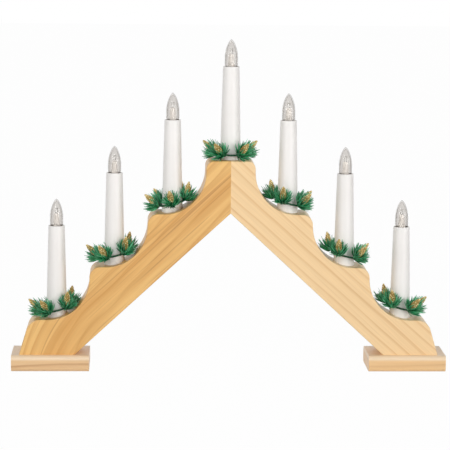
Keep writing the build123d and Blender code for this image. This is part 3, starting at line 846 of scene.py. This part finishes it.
def twistedRing(material):
    # Two thin wires twisted together round the tube, half a twist apart
    tree, ports = growTree("twistedRing", {**ringInputs, "Material": material})
    steps = calc(tree, "MULTIPLY", ports["Twists"], ringFineness["stepsPerTwist"])
    strand = make(tree, "GeometryNodeCurvePrimitiveCircle",
                  {"Resolution": steps, "Radius": ports["Ring Radius"]})
    strands = instances(tree, make(tree, "GeometryNodePoints", {"Count": ports["Strands"]}), strand)
    strands = store(tree, strands, "strand", make(tree, "GeometryNodeInputIndex"), "INSTANCE")
    strands = make(tree, "GeometryNodeRealizeInstances", {0: strands})
    which = make(tree, "GeometryNodeInputNamedAttribute", {"Name": "strand"}, data_type="FLOAT")
    along = addNode(tree, "GeometryNodeSplineParameter").outputs["Factor"]
    wholeTwist = calc(tree, "MULTIPLY", ports["Twists"], 2 * pi)
    twist = calc(tree, "ADD", calc(tree, "MULTIPLY", along, wholeTwist), calc(tree, "MULTIPLY", which, pi))
    swing = calc(tree, "COSINE", twist)
    out = calc(tree, "MULTIPLY_ADD", swing, ports["Wire Radius"], ports["Ring Radius"])
    up = calc(tree, "MULTIPLY", calc(tree, "SINE", twist), ports["Wire Radius"])
    place = vector(tree, *polar(tree, out, calc(tree, "MULTIPLY", along, 2 * pi)), up)
    strands = make(tree, "GeometryNodeSetPosition", {"Geometry": strands, "Position": place})
    wire = make(tree, "GeometryNodeCurvePrimitiveCircle",
                {"Resolution": ringFineness["wireSides"], "Radius": ports["Wire Radius"]})
    strands = make(tree, "GeometryNodeCurveToMesh", {"Curve": strands, "Profile Curve": wire})
    return endTree(tree, strands, ports["Material"])


ringGreen = mouldedPlastic("ringWire", linear(2, 84, 52), 0.4, mottle=0.3, grainWaves=800, relief=0.1)
ringTree = twistedRing(ringGreen)
needleTree = needleTufts(needleFilm("needleFilm"))
coneTree = scaledCones(goldCone("coneGold"))

wreath = {
    "ringHeight": 7.5 * mm, "crownRingHeight": 5.0 * mm, "ringInner": 10.15 * mm, "wire": 0.5 * mm,
    "twists": 26, "sprigs": 5, "seat": 1.8 * mm, "seatDepth": 8.0 * mm,
    # Degrees
    "tilt": 14.0, "pitch": 44.0, "crownPitch": 31.0, "uphillPitch": 12.0, "coneLift": 10.0,
    # For each candle: the first tuft's turn in degrees, and how far the ring rides up its tube
    "phases": (26, 26, 54, 18, 30, 26, 15),
    "rides": (-0.4 * mm, 1.5 * mm, 0.8 * mm, -0.5 * mm, 1.8 * mm, 2.2 * mm, 2.2 * mm),
}

for n in candleNumbers:
    foot, top = candleAxis(n)
    side = (n < crownCandle) - (n > crownCandle)
    lean = radians(wreath["tilt"]) * side
    pitch = wreath["pitch"] if side else wreath["crownPitch"]
    ringHeight = wreath["ringHeight"] if side else wreath["crownRingHeight"]
    ringHeight += wreath["rides"][n - 1]
    ringRadius = wreath["ringInner"] / cos(lean) + 2 * wreath["wire"]
    middle = Vector((top.x, top.y, foot.z + wreath["seatDepth"] + ringHeight))
    place = Matrix.Translation(middle) @ Matrix.Rotation(-lean, 4, "Y")
    places = {
        "Sprigs": wreath["sprigs"], "Phase": radians(wreath["phases"][n - 1]), "Uphill": float(side),
        "Pitch": radians(pitch), "Uphill Pitch": radians(wreath["uphillPitch"]),
        "Ring Radius": ringRadius + wreath["seat"],
    }
    ringSizes = {"Ring Radius": ringRadius, "Wire Radius": wreath["wire"], "Twists": wreath["twists"]}
    needlePlaces = {**places, "Seed": needleInputs["Seed"] + n}
    conePlaces = {**places, "Pitch": radians(pitch + wreath["coneLift"]), "Seed": coneInputs["Seed"] + n}
    for part, tree, values, slot, node in (
        ("wreathRing", ringTree, ringSizes, "wreath_wire", "wreath_ring"),
        ("needles", needleTree, needlePlaces, "needle_plastic", "sprigs"),
        ("goldCones", coneTree, conePlaces, "cone_gold", "cones"),
    ):
        mesh = growMesh(f"{part}_{n}", tree, values)
        ridePiece(f"{part}_{n}", mesh, place, f"wreath_{n}", f"{node}_{n}")
print("wreaths made")


# Studio: white floor that keeps a faint shadow, white world, soft lights

studio = {
    "floorHalf": 6.0, "paper": 0.86, "glow": 0.98,
    # The world's light: level, overhead, the heights between which it dims, and its gain towards the back
    "level": 0.64, "overhead": 0.22, "dimFrom": 0.15, "dimTo": 0.75, "behind": 0.35,
    "aim": Vector((0, 0, 0.13)),
}


def seenDirectly(tree):
    path = addNode(tree, "ShaderNodeLightPath").outputs
    return calc(tree, "MAXIMUM", path["Is Camera Ray"],
                calc(tree, "MAXIMUM", path["Is Glossy Ray"], path["Is Transmission Ray"]))


def stageFloor():
    half = studio["floorHalf"]
    corners = [(-half, -half, 0), (half, -half, 0), (half, half, 0), (-half, half, 0)]
    mesh = bpy.data.meshes.new("floor")
    mesh.from_pydata(corners, [], [(0, 1, 2, 3)])
    floor = bpy.data.objects.new("floor", mesh)
    bpy.context.scene.collection.objects.link(floor)
    material = bpy.data.materials.new("paperFloor")
    material.use_nodes = True
    tree = material.node_tree
    tree.nodes.clear()
    paper = make(tree, "ShaderNodeBsdfDiffuse", {"Color": grey(studio["paper"])})
    glow = make(tree, "ShaderNodeEmission", {"Color": grey(1.0), "Strength": 1.0})
    share = calc(tree, "MULTIPLY", seenDirectly(tree), studio["glow"])
    both = make(tree, "ShaderNodeMixShader", {0: share, 1: paper, 2: glow})
    addNode(tree, "ShaderNodeOutputMaterial", {0: both})
    mesh.materials.append(material)


def whiteWorld():
    # White to the eye; as a light it is dimmer overhead and stronger from behind
    world = bpy.data.worlds.new("whiteStudio")
    world.use_nodes = True
    tree = world.node_tree
    way = addNode(tree, "ShaderNodeTexCoord").outputs["Generated"]
    split = addNode(tree, "ShaderNodeSeparateXYZ", {0: way}).outputs
    light = make(tree, "ShaderNodeMapRange", {
        "Value": split["Z"], "From Min": studio["dimFrom"], "From Max": studio["dimTo"],
        "To Min": studio["level"], "To Max": studio["overhead"]})
    light = calc(tree, "MULTIPLY", light, calc(tree, "MULTIPLY_ADD", split["Y"], studio["behind"], 1.0))
    back = tree.nodes["Background"]
    back.inputs["Color"].default_value = grey(1.0)
    feed(tree, back, {"Strength": calc(tree, "MAXIMUM", seenDirectly(tree), light)})
    bpy.context.scene.world = world


def softLight(name, place, size, power):
    data = bpy.data.lights.new(name, "AREA")
    data.shape = "DISK"
    data.size = size
    data.energy = power
    lamp = bpy.data.objects.new(name, data)
    lamp.location = place
    lamp.rotation_euler = (studio["aim"] - Vector(place)).to_track_quat("-Z", "Y").to_euler()
    bpy.context.scene.collection.objects.link(lamp)


stageFloor()
whiteWorld()
softLight("keyLight", (-0.8, -1.6, 0.8), size=1.0, power=13.2)
softLight("fillLight", (1.25, -1.6, 0.25), size=1.3, power=18.5)

# Camera at the photograph's place
view = {
    "eye": Vector((-0.0846, -1.8999, 0.4175)), "aim": Vector((0, -0.0195, 0.140)), "roll": radians(0.592),
    "lens": 166.89, "sensor": 36.0, "shift": (-0.01244, -0.00978),
}
ahead = (view["aim"] - view["eye"]).normalized()
right = ahead.cross(Vector((0, 0, 1))).normalized()
above = right.cross(ahead)
rolledRight = right * cos(view["roll"]) + above * sin(view["roll"])
rolledUp = above * cos(view["roll"]) - right * sin(view["roll"])
cameraData = bpy.data.cameras.new("camera")
cameraData.lens = view["lens"]
cameraData.sensor_width = view["sensor"]
cameraData.shift_x, cameraData.shift_y = view["shift"]
camera = bpy.data.objects.new("camera", cameraData)
turned = Matrix((rolledRight, rolledUp, -ahead)).transposed().to_4x4()
camera.matrix_world = Matrix.Translation(view["eye"]) @ turned
bpy.context.scene.collection.objects.link(camera)
bpy.context.scene.camera = camera
bpy.context.scene.view_settings.view_transform = "Standard"
print("studio ready")
